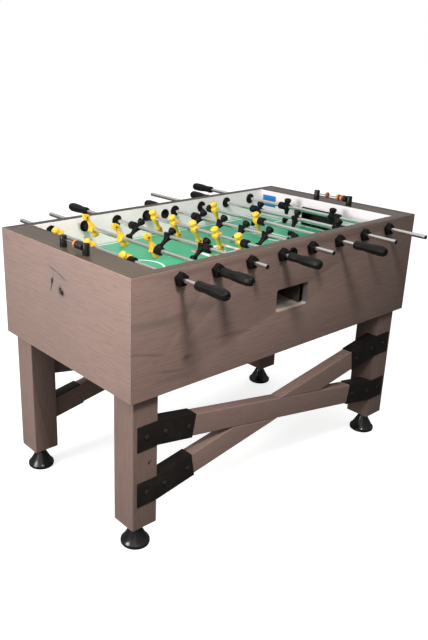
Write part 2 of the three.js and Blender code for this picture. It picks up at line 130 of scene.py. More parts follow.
def add_studio():
    """A pale backdrop, a sky that is bright overhead, a lamp over the front and two at the left."""
    g = Graph("studio", world=True)
    coords = g.add("ShaderNodeTexCoord").outputs["Generated"]
    up = g.add("ShaderNodeSeparateXYZ", Vector=coords).outputs["Z"]
    steep = g.math("POWER", g.level(up, 0, 1, 0, 1), 2.0)
    sky = g.math("ADD", g.math("MULTIPLY", steep, SKY_OVERHEAD), SKY_HORIZON)
    g.finish(Color=(1.0, 0.995, 0.99), Strength=sky)
    mirrored = g.add("ShaderNodeBackground", Strength=g.level(up, 0, 0.75, 0.25, 1.05))
    backdrop = g.add("ShaderNodeBackground", Color=(1.0, 1.0, 1.0), Strength=1.0)
    seen = g.add("ShaderNodeLightPath").outputs
    lit = g.choose(seen["Is Glossy Ray"], g.surface, mirrored)
    g.put(g.end, g.choose(seen["Is Camera Ray"], lit, backdrop).outputs[0])
    bpy.context.scene.world = g.owner
    bpy.context.scene.view_settings.view_transform = "Standard"
    y = MIDDLE_Y
    add_area("key", (-0.95, y - 1.75, 3.0), (-0.75, y - 0.25, 0.6), (0.5, 0.5), 14.2, WARM, 80)
    add_area("side", (-2.2, y - 1.2, 1.9), (-0.5, y - 0.2, 0.7), (3.0, 2.2), 22, WARM)
    add_area("window", (-3.2, y + 0.3, 1.7), (-0.6, y, 0.7), (1.2, 1.0), 94)


# ---------------- node graphs


class Graph:
    """A Principled material, or the world, built one node at a time."""

    def __init__(self, name, world=False):
        self.owner = (bpy.data.worlds if world else bpy.data.materials).new(name)
        self.owner.use_nodes = True
        self.tree = self.owner.node_tree
        self.surface = self.tree.nodes["Background" if world else "Principled BSDF"]
        output = self.tree.nodes["World Output" if world else "Material Output"]
        self.end = output.inputs["Surface"]

    def add(self, kind, settings=None, **inputs):
        node = self.tree.nodes.new(kind)
        for key, value in (settings or {}).items():
            setattr(node, key, value)
        for key, value in inputs.items():
            self.put(node.inputs[key.replace("_", " ")], value)
        return node

    def put(self, socket, value):
        if isinstance(value, bpy.types.NodeSocket):
            self.tree.links.new(value, socket)
        elif isinstance(value, (tuple, list)) and len(value) == 3 and socket.type == "RGBA":
            socket.default_value = (*value, 1)
        else:
            socket.default_value = value

    def place(self, scale=(1, 1, 1), offset=(0, 0, 0), turn=(0, 0, 0)):
        coords = self.add("ShaderNodeTexCoord").outputs["Object"]
        mapping = self.add("ShaderNodeMapping", Vector=coords, Scale=scale, Location=offset,
                           Rotation=turn)
        return mapping.outputs["Vector"]

    def fit(self, centre, half, turn=0.0, axis=0):
        """How far a point is from a centre, in half sizes. turn tips the shape about an axis."""
        tipped = [0.0, 0.0, 0.0]
        tipped[axis] = math.radians(turn)
        mapping = self.add("ShaderNodeMapping", {"vector_type": "TEXTURE"}, Location=centre, Scale=half,
                           Rotation=tuple(tipped))
        self.put(mapping.inputs["Vector"], self.add("ShaderNodeTexCoord").outputs["Object"])
        reach = self.add("ShaderNodeVectorMath", {"operation": "LENGTH"})
        self.put(reach.inputs[0], mapping.outputs["Vector"])
        return reach.outputs["Value"]

    def noise(self, vector, scale, detail=4.0, roughness=0.55, distortion=0.0):
        node = self.add("ShaderNodeTexNoise", Vector=vector, Scale=scale, Detail=detail,
                        Roughness=roughness, Distortion=distortion)
        return node.outputs["Fac"]

    def ramp(self, value, stops):
        node = self.add("ShaderNodeValToRGB", Fac=value)
        elements = node.color_ramp.elements
        while len(elements) < len(stops):
            elements.new(0.5)
        for element, (position, color) in zip(elements, stops):
            element.position = position
            element.color = (*color, 1)
        return node.outputs["Color"]

    def level(self, value, low, high, out_low, out_high):
        node = self.add("ShaderNodeMapRange", Value=value, From_Min=low, From_Max=high,
                        To_Min=out_low, To_Max=out_high)
        return node.outputs["Result"]

    def math(self, operation, a, b=0.0):
        node = self.add("ShaderNodeMath", {"operation": operation})
        self.put(node.inputs[0], a)
        self.put(node.inputs[1], b)
        return node.outputs[0]

    def mix(self, factor, a, b, blend="MIX"):
        settings = {"data_type": "RGBA", "blend_type": blend}
        return self.add("ShaderNodeMix", settings, Factor=factor, A=a, B=b).outputs["Result"]

    def choose(self, factor, a, b):
        """A shader that is a where the factor is 0, and b where it is 1."""
        node = self.add("ShaderNodeMixShader", Fac=factor)
        self.put(node.inputs[1], a.outputs[0])
        self.put(node.inputs[2], b.outputs[0])
        return node

    def spots(self, scale, detail=3.0, grain=(1, 1, 1)):
        """Noise over the piece's own space, drawn out or packed by grain along each axis."""
        return self.noise(self.place(grain), scale, detail)

    def rough_distance(self, centre, half, tip, axis, noise, amount):
        """A fit whose edge is torn by noise."""
        torn = self.math("MULTIPLY", self.math("SUBTRACT", noise, 0.5), amount)
        return self.math("ADD", self.fit(centre, half, tip, axis), torn)

    def bump(self, height, strength, distance):
        node = self.add("ShaderNodeBump", Height=height, Strength=strength, Distance=distance)
        self.put(self.surface.inputs["Normal"], node.outputs["Normal"])

    def finish(self, **inputs):
        for key, value in inputs.items():
            self.put(self.surface.inputs[key.replace("_", " ")], value)
        return self.owner


def tint(color, factor):
    return tuple(channel * factor for channel in color)


WOOD_LIGHT = (0.252, 0.176, 0.151)
WOOD_DARK = (0.182, 0.124, 0.106)
WOOD_GREY = (0.205, 0.160, 0.143)
WOOD_HALO = (0.205, 0.163, 0.152)
KNOT_DARK = (0.009, 0.007, 0.006)
STAIN_GREY = (0.128, 0.108, 0.096)
STAIN_DARK = (0.120, 0.080, 0.068)
LINE_PITCH = 6.2 * MM


def stretched(across, along, grain):
    """A noise scale that is different along the grain."""
    scale = [across] * 3
    scale[grain] = along
    return tuple(scale)


def wood(name, grain, offset, tone=1.0, turn=(0, 0, 0), marks=(), halo=None, stains=()):
    """Brushed, stained oak. grain is the axis that the grain runs along, 0 to 2.

    marks are the dark knots and cracks, each a centre, its half sizes and its tip. halo is the centre
    of the greyer wood and bent grain round them, and its reach. stains are soft blotches, each a
    centre, its half sizes, its tip, its strength and its color.
    """
    g = Graph(name)
    waves = g.noise(g.place(stretched(4.5, 0.6, grain), offset, turn), 1.0, 2.0, 0.45, 0.3)
    axes = g.add("ShaderNodeSeparateXYZ", Vector=g.place((1, 1, 1), offset, turn)).outputs
    if grain == 2:
        across = g.math("ADD", axes["X"], g.math("MULTIPLY", axes["Y"], 1.3))
    else:
        across = g.math("ADD", axes["Z"], g.math("MULTIPLY", axes["Y" if grain == 0 else "X"], 0.6))
    across = g.math("ADD", across, g.math("MULTIPLY", g.math("SUBTRACT", waves, 0.5), 0.11))
    near = None
    if halo is not None:
        centre, reach = halo
        ratio = g.math("POWER", g.fit(centre, (reach, reach, reach)), 2.0)
        near = g.math("POWER", 2.718, g.math("MULTIPLY", ratio, -1.0))
        across = g.math("ADD", across, g.math("MULTIPLY", near, 0.040))
    lines = g.math("SINE", g.math("MULTIPLY", across, 2 * math.pi / LINE_PITCH))
    fibres = g.noise(g.place(stretched(420.0, 16.0, grain), offset, turn), 1.0, 3.0, 0.6, 0.2)
    most = 0.07 if grain == 2 else 0.13
    strength = g.level(g.noise(g.place((3.0, 3.0, 3.0), offset), 1.0, 2.0), 0.35, 0.65, 0.03, most)
    figure = g.math("ADD", g.math("MULTIPLY", lines, strength), fibres)
    color = g.ramp(figure, [(0.25, WOOD_DARK), (0.52, WOOD_LIGHT), (0.80, tint(WOOD_LIGHT, 1.08))])
    patches = g.noise(g.place((1.0, 1.0, 1.0), offset), 3.2, 3.0)
    color = g.mix(g.level(patches, 0.42, 0.62, 0.0, 0.3), color, WOOD_GREY)
    if near is not None:
        color = g.mix(g.math("MULTIPLY", near, 0.7), color, WOOD_HALO)
    streaks = g.noise(g.place(stretched(30.0, 8.0, grain)), 1.0, 4.0) if stains else None
    for centre, half, tip, amount, stain in stains:
        away = g.rough_distance(centre, half, tip, 1, streaks, 2.2)
        color = g.mix(g.level(away, 0.3, 1.35, amount, 0.0), color, stain)
    soft = g.spots(90.0) if marks else None
    for centre, half, tip in marks:
        away = g.rough_distance(centre, half, tip, 0, soft, 1.1)
        color = g.mix(g.level(away, 1.0, 2.4, 0.60, 0.0), color, tint(WOOD_DARK, 0.66))
        color = g.mix(g.level(away, 0.85, 1.25, 1.0, 0.0), color, KNOT_DARK)
    if tone != 1.0:
        color = g.mix(1.0, color, (tone, tone, tone), "MULTIPLY")
    g.bump(fibres, 0.16, 0.0005)
    rough = g.level(fibres, 0.3, 0.7, 0.62, 0.50)
    return g.finish(Base_Color=color, Roughness=rough, Specular_IOR_Level=0.14)


def rail_finish(name):
    """The top faces of the rails: darker and greyer than the walls' wood, with a satin sheen."""
    g = Graph(name)
    fine = g.spots(1.0, 3.0, (120, 120, 120))
    broad = g.spots(5.0, 2.0)
    color = g.mix(fine, (0.062, 0.043, 0.029), (0.082, 0.058, 0.040))
    color = g.mix(g.level(broad, 0.4, 0.65, 0.0, 0.35), color, (0.060, 0.043, 0.030))
    g.bump(fine, 0.06, 0.0003)
    return g.finish(Base_Color=color, Roughness=g.level(fine, 0.3, 0.7, 0.25, 0.19),
                    Specular_IOR_Level=0.45)


def plastic(name, color, rough=0.4, speckle=0.12, specular=0.5, depth=0.00012):
    """Moulded plastic or rubber: a faint mottle, a fine texture and rubbed patches."""
    g = Graph(name)
    fine = g.spots(1.0, 3.0, (420, 420, 420))
    broad = g.spots(26.0)
    shade = g.mix(g.level(broad, 0.35, 0.7, 0.0, 1.0), tint(color, 1 - speckle), tint(color, 1 + speckle))
    g.bump(fine, 0.25, depth)
    return g.finish(Base_Color=shade, Roughness=g.level(broad, 0.3, 0.7, rough * 0.85, rough * 1.15),
                    Specular_IOR_Level=specular)


def steel(name, color=(0.74, 0.73, 0.71)):
    """Ground and polished bar: turning lines round it, and fine scratches along it."""
    g = Graph(name)
    rings = g.spots(1.0, 2.0, (60, 900, 60))
    scratches = g.spots(1.0, 3.0, (700, 12, 700))
    both = g.math("ADD", g.math("MULTIPLY", rings, 0.5), g.math("MULTIPLY", scratches, 0.5))
    shade = g.mix(g.level(g.spots(9.0), 0.35, 0.7, 0.0, 1.0), tint(color, 0.94), color)
    g.bump(both, 0.03, 0.00004)
    return g.finish(Base_Color=shade, Metallic=1.0, Roughness=g.level(both, 0.3, 0.7, 0.15, 0.21))


def painted_steel(name, color=(0.014, 0.012, 0.011)):
    """Black powder coat with its orange-peel texture, rubbed a little lighter in places."""
    g = Graph(name)
    peel = g.spots(1.0, 2.0, (320, 320, 320))
    rubbed = g.spots(14.0, 4.0)
    shade = g.mix(g.level(rubbed, 0.5, 0.75, 0.0, 0.6), color, tint(color, 2.4))
    g.bump(peel, 0.35, 0.0002)
    return g.finish(Base_Color=shade, Roughness=g.level(peel, 0.3, 0.7, 0.55, 0.42),
                    Specular_IOR_Level=0.1)


def laminate(name, color):
    """A smooth printed or laminated sheet with a few smudges."""
    g = Graph(name)
    fine = g.spots(1.0, 2.0, (500, 500, 500))
    smudge = g.spots(7.0)
    shade = g.mix(g.level(smudge, 0.4, 0.7, 0.0, 0.7), color, tint(color, 0.93))
    g.bump(fine, 0.08, 0.0001)
    return g.finish(Base_Color=shade, Roughness=g.level(smudge, 0.3, 0.7, 0.55, 0.68),
                    Specular_IOR_Level=0.2)


def field_green(name):
    """The printed playfield: worn paler where the ball runs."""
    g = Graph(name)
    fine = g.spots(1.0, 2.0, (600, 600, 600))
    worn = g.spots(6.5, 4.0, (1.0, 2.2, 1.0))
    shade = g.mix(g.level(worn, 0.35, 0.68, 0.0, 1.0), (0.026, 0.345, 0.170), (0.052, 0.430, 0.235))
    g.bump(fine, 0.1, 0.0001)
    return g.finish(Base_Color=shade, Roughness=g.level(worn, 0.3, 0.7, 0.28, 0.42),
                    Specular_IOR_Level=0.3)


BLACK = (0.0085, 0.0085, 0.0082)

# Each look: the function that makes it, and what that is given after the name. For a plastic, these
# are its color, roughness, speckle, specular level and texture depth.
MATERIALS = {name: make_look(name, *given) for name, (make_look, *given) in {
    "rail_top": (rail_finish,),
    # A lighter copy of the wood on the rails' rounded top edges: a painted highlight.
    "worn_edge": (wood, 0, (0.9, 0.3, 1.1), 1.6),
    "goal_white": (laminate, (0.82, 0.745, 0.785)),
    "inner_white": (laminate, (0.97, 0.905, 0.935)),
    # Near-black for the serve and rod bores, the mouth's inside, the end walls' inner faces and the black
    # men's pin holes: painted shade.
    "dark_inside": (plastic, (0.030, 0.024, 0.020), 0.7, 0.2, 0.2),
    "mouth_trim": (plastic, (0.150, 0.148, 0.143), 0.45, 0.08, 0.3),
    # The up-facing sill of the mouth's lip: a paler copy of the trim, painted light from above.
    "sill": (plastic, (0.42, 0.345, 0.290), 0.5, 0.3, 0.3),
    "tray_floor": (plastic, (0.180, 0.165, 0.150), 0.6, 0.15, 0.3),
    # Near-black on the return boards' faces that don't face up: painted shade inside the cabinet.
    "tray_side": (plastic, (0.034, 0.019, 0.015), 0.6, 0.2, 0.2),
    "field": (field_green,),
    "line_white": (laminate, (0.88, 0.88, 0.87)),
    "line_red": (plastic, (0.80, 0.085, 0.130), 0.4),
    "plate_blue": (plastic, (0.008, 0.155, 0.430), 0.35),
    "rod_steel": (steel,),
    "rubber": (plastic, BLACK, 0.5, 0.12, 0.08),
    "grip": (plastic, BLACK, 0.40, 0.2, 0.11, 0.0002),
    "black_moulded": (plastic, BLACK, 0.42, 0.12, 0.09),
    "men_yellow": (plastic, (0.84, 0.505, 0.038), 0.36, 0.06, 0.35),
    "men_black": (plastic, tint(BLACK, 0.8), 0.24, 0.12, 0.11),
    "pin_red": (plastic, (0.200, 0.006, 0.008), 0.6, 0.12, 0.1),
    "post_black": (plastic, BLACK, 0.24, 0.12, 0.22),
    "foot_black": (plastic, BLACK, 0.2, 0.12, 0.3),
    "bracket_black": (painted_steel,),
    "bolt_black": (painted_steel, (0.020, 0.018, 0.017)),
    "bead_orange": (plastic, (0.55, 0.150, 0.045), 0.35),
    "bead_rust": (plastic, (0.360, 0.105, 0.035), 0.35),
    "bead_pale": (plastic, (0.62, 0.270, 0.100), 0.35),
    "bead_red": (plastic, (0.120, 0.010, 0.008), 0.35),
    "bead_green": (plastic, (0.006, 0.019, 0.015), 0.35, 0.12, 0.2),
    "bead_brown": (plastic, (0.045, 0.020, 0.014), 0.35),
    "bead_black": (plastic, BLACK, 0.38, 0.12, 0.3),
    "inside_board": (wood, 0, (3.1, 1.7, 0.4), 0.4),
}.items()}

# ---------------- mesh helpers


def link(name, data):
    piece = bpy.data.objects.new(name, data)
    bpy.context.scene.collection.objects.link(piece)
    return piece


def to_mesh(name, bm):
    bmesh.ops.recalc_face_normals(bm, faces=bm.faces)
    mesh = bpy.data.meshes.new(name)
    bm.to_mesh(mesh)
    bm.free()
    return mesh


def shade(mesh, angle=35.0):
    """Smooth shading, with edges sharper than the angle kept."""
    for polygon in mesh.polygons:
        polygon.use_smooth = True
    mesh.set_sharp_from_angle(angle=math.radians(angle))
    return mesh


def make(name, bm_or_mesh, body, materials, replaces=(), angle=35.0, matrix=None):
    """Turns a bmesh or mesh into a piece that rides on a body. materials can be names of looks."""
    mesh = to_mesh(name, bm_or_mesh) if isinstance(bm_or_mesh, bmesh.types.BMesh) else bm_or_mesh
    if not mesh.materials:
        for material in materials:
            mesh.materials.append(MATERIALS.get(material, material))
    shade(mesh, angle)
    piece = link(name, mesh)
    if matrix is not None:
        piece.matrix_world = matrix
    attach(piece, body)
    if replaces:
        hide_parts(*replaces)
    return piece


def bevel(bm, width, segments=2, angle=25.0, where=None):
    """Rounds the sharp edges, or those of them whose two ends are both where the rule says."""
    edges = [edge for edge in bm.edges
             if len(edge.link_faces) == 2 and edge.calc_face_angle(0) > math.radians(angle)
             and (where is None or all(where(vert.co) for vert in edge.verts))]
    bmesh.ops.bevel(bm, geom=edges, offset=width, segments=segments, profile=0.6,
                    affect="EDGES", clamp_overlap=True)
    return bm


def along_y(u, v, w):
    return (u, w, v)


def prism(points, low, high, place=lambda *point: point):
    """A closed outline of (u, v) pairs pulled from low to high. place turns (u, v, w) into a point."""
    bm = bmesh.new()
    bottom = [bm.verts.new(place(u, v, low)) for u, v in points]
    top = [bm.verts.new(place(u, v, high)) for u, v in points]
    bm.faces.new(bottom[::-1])
    bm.faces.new(top)
    for i in range(len(points)):
        j = (i + 1) % len(points)
        bm.faces.new((bottom[i], bottom[j], top[j], top[i]))
    bmesh.ops.recalc_face_normals(bm, faces=bm.faces)
    return bm


def rounded(x0, x1, z0, z1, corner, steps=6):
    """The outline of a rectangle with rounded corners."""
    centres = [(x1 - corner, z1 - corner), (x0 + corner, z1 - corner),
               (x0 + corner, z0 + corner), (x1 - corner, z0 + corner)]
    points = []
    for quarter, (x, z) in enumerate(centres):
        for k in range(steps + 1):
            turn = math.pi / 2 * (quarter + k / steps)
            points.append((x + corner * math.cos(turn), z + corner * math.sin(turn)))
    return points


def block(lo, hi, width=0.0, segments=2):
    """A box between two corners, with its edges rounded when a width is given."""
    points = [(lo[0], lo[1]), (hi[0], lo[1]), (hi[0], hi[1]), (lo[0], hi[1])]
    bm = prism(points, lo[2], hi[2])
    return bevel(bm, width, segments) if width else bm


def skin(bm, rows, segments):
    """Faces between neighbouring rows. A row of one vertex is a point on the axis."""
    for a, b in rows:
        for k in range(segments):
            n = (k + 1) % segments
            corners = [a[k % len(a)], a[n % len(a)], b[n % len(b)], b[k % len(b)]]
            unique = [corner for i, corner in enumerate(corners) if corner not in corners[:i]]
            if len(unique) > 2:
                bm.faces.new(unique)


def lathe(profile, segments=32, axis=1):
    """A turned piece from (radius, position) pairs, which close on themselves or meet the axis."""
    bm = bmesh.new()
    closed = profile[0] == profile[-1]
    rows = []
    for radius, position in profile[:-1] if closed else profile:
        row = []
        count = 1 if radius == 0 else segments
        for k in range(count):
            turn = 2 * math.pi * k / segments
            point = [radius * math.cos(turn), radius * math.sin(turn)]
            point.insert(axis, position)
            row.append(bm.verts.new(point))
        rows.append(row)
    skin(bm, zip(rows, rows[1:] + rows[:1] if closed else rows[1:]), segments)
    bmesh.ops.recalc_face_normals(bm, faces=bm.faces)
    return bm


def turned(profile, segments=32, axis=1, way=1):
    """A lathe piece from millimetres. way -1 turns it end for end."""
    return lathe([(radius * MM, way * position * MM) for radius, position in profile], segments, axis)


def rod_shape(radius, low, high, segments):
    """A plain round bar or cutter along Y."""
    return lathe([(0, low), (radius, low), (radius, high), (0, high)], segments)


def moved(bm, x=0.0, y=0.0, z=0.0):
    bmesh.ops.translate(bm, verts=bm.verts, vec=(x, y, z))
    return bm


def merged(*parts):
    """Several closed shells in one bmesh."""
    whole = bmesh.new()
    for part in parts:
        mesh = bpy.data.meshes.new("part")
        part.to_mesh(mesh)
        part.free()
        whole.from_mesh(mesh)
        bpy.data.meshes.remove(mesh)
    return whole


def discard(piece):
    data = piece.data
    bpy.data.objects.remove(piece)
    bpy.data.meshes.remove(data)


def evaluated(piece):
    """The piece's shape with its modifiers applied, as a bmesh, and the piece removed."""
    graph = bpy.context.evaluated_depsgraph_get()
    mesh = bpy.data.meshes.new_from_object(piece.evaluated_get(graph))
    discard(piece)
    bm = bmesh.new()
    bm.from_mesh(mesh)
    bpy.data.meshes.remove(mesh)
    return bm


def carve(bm, cutters, operation="DIFFERENCE"):
    """Cuts closed shells out of a bmesh, or joins them to it, and gives back a bmesh."""
    body = link("carved", to_mesh("carved", bm))
    tools = [link("cutter", to_mesh("cutter", cutter)) for cutter in cutters]
    for tool in tools:
        modifier = body.modifiers.new("cut", "BOOLEAN")
        modifier.object = tool
        modifier.operation = operation
        modifier.solver = "EXACT"
    result = evaluated(body)
    for tool in tools:
        discard(tool)
    return result


def paint_faces(bm, rule):
    """Gives each face the material number that rule(centre, normal) says."""
    bm.normal_update()
    for face in bm.faces:
        face.material_index = rule(face.calc_center_median(), face.normal)
    return bm


def loft(sections, segments=24):
    """A closed body through rings. Each is (position, centre u, half u, half v, power)."""
    bm = bmesh.new()
    rings = []
    for position, centre, half_u, half_v, power in sections:
        ring = []
        for k in range(segments):
            turn = 2 * math.pi * k / segments
            c, s = math.cos(turn), math.sin(turn)
            u = centre + half_u * math.copysign(abs(c) ** (2 / power), c)
            v = half_v * math.copysign(abs(s) ** (2 / power), s)
            ring.append(bm.verts.new((u, v, position)))
        rings.append(ring)
    skin(bm, zip(rings, rings[1:]), segments)
    bm.faces.new(rings[0][::-1])
    bm.faces.new(rings[-1])
    bmesh.ops.recalc_face_normals(bm, faces=bm.faces)
    return bm


# ---------------- cabinet


FRONT_STAINS = [
    ((-0.628, OUT_FRONT, 0.813), (0.120, 0.03, 0.0150), 3, 0.60, STAIN_GREY),
    ((-0.425, OUT_FRONT, 0.826), (0.075, 0.03, 0.0260), 8, 0.55, STAIN_GREY),
    ((-0.640, OUT_FRONT, 0.716), (0.075, 0.03, 0.0065), 14, 0.65, STAIN_DARK),
    ((-0.495, OUT_FRONT, 0.668), (0.020, 0.03, 0.0130), -20, 0.75, STAIN_DARK),
    ((-0.560, OUT_FRONT, 0.640), (0.060, 0.03, 0.0060), 10, 0.60, STAIN_DARK),
    ((-0.540, OUT_FRONT, 0.612), (0.070, 0.03, 0.0140), 5, 0.50, STAIN_GREY),
    ((-0.300, OUT_FRONT, 0.700), (0.090, 0.03, 0.0060), 5, 0.45, STAIN_DARK),
]


def side_wall(name, sign, mouth):
    """A long wall with its rod holes, serve hole and, at the front, the ball-return mouth."""
    outer, inner = (OUT_FRONT, IN_FRONT) if sign < 0 else (OUT_BACK, IN_BACK)
    points = [(-OUT_X + GAP, outer), (OUT_X - GAP, outer), (IN_X - GAP, inner), (-IN_X + GAP, inner)]
    low, high = sorted((outer, inner))
    past = low - PAST, high + PAST
    holes = [moved(rod_shape(ROD_HOLE, *past, 24), rod["x"], 0, rod["z"]) for rod in RODS]
    holes.append(moved(rod_shape(SERVE_HOLE, *past, 40), sign * SERVE_X, 0, SERVE_Z))
    if mouth:
        m = RETURN_MOUTH
        edge = outer + m["lip"]
        outline = rounded(m["x0"], m["x1"], m["z0"], m["z1"], m["corner"])
        holes.append(prism(outline, outer - PAST, inner + PAST, along_y))
        holes.append(block((m["x0"] - m["pocket"], edge, m["z0"] - m["pocket"]),
                           (m["x1"] + m["pocket"], inner + PAST, m["z1"] + m["pocket"])))
    bm = carve(prism(points, BOTTOM_Z, TOP_Z), holes)
    bevel(bm, WALL_EDGE, 2, 40, lambda co: abs(co.y - outer) < 0.1 * MM)

    def rule(centre, normal):
        if normal.z > 0.9 and centre.z > TOP_Z - 2 * MM:
            return 1
        if normal.y * sign < -0.9 and abs(centre.y - inner) < 0.5 * MM:
            return 2
        in_wall = outer + 1 * MM < centre.y < inner - 1 * MM
        # The mouth's faces past the lip are painted shade.
        if mouth and in_wall and abs(centre.x) < 0.1 and centre.z < 0.85:
            in_trim = centre.y < outer + RETURN_MOUTH["lip"] - 0.001
            # Of the lip, the up-facing sill gets the trim with painted light from above.
            return (5 if normal.z > 0.5 else 4) if in_trim else 3
        from_serve = math.hypot(centre.x - sign * SERVE_X, centre.z - SERVE_Z)
        # The serve hole's bore is painted shade.
        if from_serve < SERVE_HOLE + 0.8 * MM and abs(normal.y) < 0.5:
            return 3
        # The rounded outer top edge gets the painted highlight.
        return 6 if 0.3 < normal.z < 0.95 and normal.y * sign > 0 and centre.z > TOP_Z - 3 * MM else 0

    stains = FRONT_STAINS if sign < 0 else ()
    grain = wood(f"{name}_wood", 0, (0.7 + 2.1 * sign, 0.4 * sign, 1.3), 0.95, stains=stains)
    materials = [grain, "rail_top", "inner_white", "dark_inside",
                 "mouth_trim", "sill", "worn_edge"]
    node = "front_side_panel" if sign < 0 else "back_side_panel"
    make(name, paint_faces(bm, rule), "cabinet", materials, (node,))


# The left end's knots and crack: where each is, its half sizes and its tip. Then the bent grain.
END_MARKS = [
    ((-OUT_X, MIDDLE_Y + 0.047, 0.853), (0.02, 0.0050, 0.0120), 20),
    ((-OUT_X, MIDDLE_Y + 0.054, 0.830), (0.02, 0.0018, 0.0110), 20),
    ((-OUT_X, MIDDLE_Y - 0.003, 0.832), (0.02, 0.0085, 0.0105), 0),
    ((-OUT_X, MIDDLE_Y - 0.012, 0.826), (0.02, 0.0095, 0.0078), 0),
    ((-OUT_X, MIDDLE_Y + 0.034, 0.894), (0.02, 0.0230, 0.0010), 10),
    ((-OUT_X, MIDDLE_Y - 0.010, 0.8825), (0.02, 0.0240, 0.0011), 18),
]
END_HALO = ((-OUT_X, MIDDLE_Y + 0.004, 0.867), 0.075)


def end_wall(side, sign):
    """The mitred end wall, the board behind the goal and the inner goal wall."""
    x = sign * OUT_X, sign * IN_X
    points = [(x[0], OUT_FRONT + GAP), (x[1], IN_FRONT + GAP),
              (x[1], IN_BACK - GAP), (x[0], OUT_BACK - GAP)]
    bm = bevel(prism(points, BOTTOM_Z, TOP_Z), WALL_EDGE, 2, 40,
               lambda co: abs(co.x - sign * OUT_X) < 0.1 * MM)

    def rule(centre, normal):
        if normal.z > 0.95:
            return 1
        # The rounded outer top edge gets the painted highlight.
        if 0.3 < normal.z and normal.x * sign > 0:
            return 3
        # The inner face, inside the cabinet, is painted shade.
        return 2 if normal.x * sign < -0.9 else 0

    marks, halo = (END_MARKS, END_HALO) if sign < 0 else ((), None)
    grain = wood(f"{side}_end_wood", 1, (1.9 * sign, 0.3, 2.2 + sign), marks=marks, halo=halo)
    materials = [grain, "rail_top", "dark_inside", "worn_edge"]
    make(f"{side}_end_wall", paint_faces(bm, rule), "cabinet", materials,
         (f"{side}_end_panel",))

    lo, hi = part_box(f"{side}_top_board")
    bm = paint_faces(block(lo, hi), lambda centre, normal: 1 if normal.z > 0.9 else 0)
    make(f"{side}_cap_board", bm, "cabinet",
         ["inside_board", "rail_top"], (f"{side}_top_board",))

    lo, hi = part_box(f"{side}_goal_wall")
    mouth = block((lo.x - PAST, MIDDLE_Y - GOAL_HALF_WIDTH, FIELD_Z),
                  (hi.x + PAST, MIDDLE_Y + GOAL_HALF_WIDTH, GOAL_TOP_Z))
    bm = bevel(carve(block(lo, hi), [mouth]), 0.8 * MM, 2, 40)

    def goal_rule(centre, normal):
        if normal.z > 0.9 and centre.z > TOP_Z - 1 * MM:
            return 1
        across = abs(centre.y - MIDDLE_Y) < GOAL_HALF_WIDTH + 0.5 * MM
        in_mouth = across and FIELD_Z - 1 * MM < centre.z < GOAL_TOP_Z + 0.5 * MM
        return 2 if normal.x * sign > 0.9 or (abs(normal.x) < 0.5 and in_mouth) else 0

    make(f"{side}_goal", paint_faces(bm, goal_rule), "cabinet",
         ["goal_white", "rail_top", "black_moulded"], (f"{side}_goal_wall",))


# ---------------- playfield and its printed lines

PRINT_THICK = 0.25 * MM
PRINT_Z = FIELD_Z + 0.02 * MM
PRINT_GAP = 0.1 * MM
LINE_WIDTH = 9 * MM
EDGE_X, EDGE_Y = 0.590, 0.333
AREA_X, AREA_Y = 0.380, 0.190
EMBLEM = {"x": 0.087, "y": 0.060, "band": 0.021, "patch": (0.028, 0.022)}


def ring_strip(name, centre, radius, width, start=0, end=360, steps=64):
    """A flat white printed band along a circle's arc."""
    bm = bmesh.new()
    full = end - start >= 360
    rows = []
    inner, outer = radius - width / 2, radius + width / 2
    for k in range(steps if full else steps + 1):
        turn = math.radians(start + (end - start) * k / steps)
        row = []
        for reach, z in ((inner, 0), (outer, 0), (outer, PRINT_THICK), (inner, PRINT_THICK)):
            x = centre[0] + reach * math.cos(turn)
            y = centre[1] + reach * math.sin(turn)
            row.append(bm.verts.new((x, y, PRINT_Z + z)))
        rows.append(row)
    following = rows[1:] + rows[:1] if full else rows[1:]
    for a, b in zip(rows, following):
        for i in range(4):
            j = (i + 1) % 4
            bm.faces.new((a[i], a[j], b[j], b[i]))
    if not full:
        bm.faces.new(rows[0])
        bm.faces.new(rows[-1][::-1])
    make(name, bm, "cabinet", ["line_white"])


def bar_strip(name, x0, x1, y0, y1, material="line_white", lift=0.0):
    lo = (x0, y0, PRINT_Z + lift)
    hi = (x1, y1, PRINT_Z + PRINT_THICK + lift)
    make(name, block(lo, hi), "cabinet", [material])


def playfield():
    """The green board with its printed lines."""
    bm = block(FIELD_LO, FIELD_HI, 0.4 * MM)
    make("field_board", bm, "cabinet", ["field"], ("playfield",))
    w = LINE_WIDTH
    y = MIDDLE_Y
    bar_strip("line_front", -EDGE_X, EDGE_X, y - EDGE_Y, y - EDGE_Y + w)
    bar_strip("line_back", -EDGE_X, EDGE_X, y + EDGE_Y - w, y + EDGE_Y)
    for side, sign in (("left", -1), ("right", 1)):
        goal_x = sorted((sign * EDGE_X, sign * (EDGE_X - w)))
        bar_strip(f"line_{side}_goal", *goal_x, y - EDGE_Y + w + PRINT_GAP, y + EDGE_Y - w - PRINT_GAP)
        area_x = sorted((sign * AREA_X, sign * (AREA_X - w)))
        bar_strip(f"line_{side}_area", *area_x, y - AREA_Y, y + AREA_Y)
        legs = sorted((sign * AREA_X, sign * (EDGE_X - w - PRINT_GAP)))
        bar_strip(f"line_{side}_area_front", *legs, y - AREA_Y - w, y - AREA_Y - PRINT_GAP)
        bar_strip(f"line_{side}_area_back", *legs, y + AREA_Y + PRINT_GAP, y + AREA_Y + w)
        arc = (90, 270) if sign > 0 else (-90, 90)
        ring_strip(f"line_{side}_arc", (sign * (AREA_X - w), y + 0.008), 0.083, w, *arc)
    near, far = EDGE_Y - w - PRINT_GAP, EMBLEM["y"] + PRINT_GAP
    bar_strip("line_middle_front", -w / 2, w / 2, y - near, y - far)
    bar_strip("line_middle_back", -w / 2, w / 2, y + far, y + near)
    emblem(y)


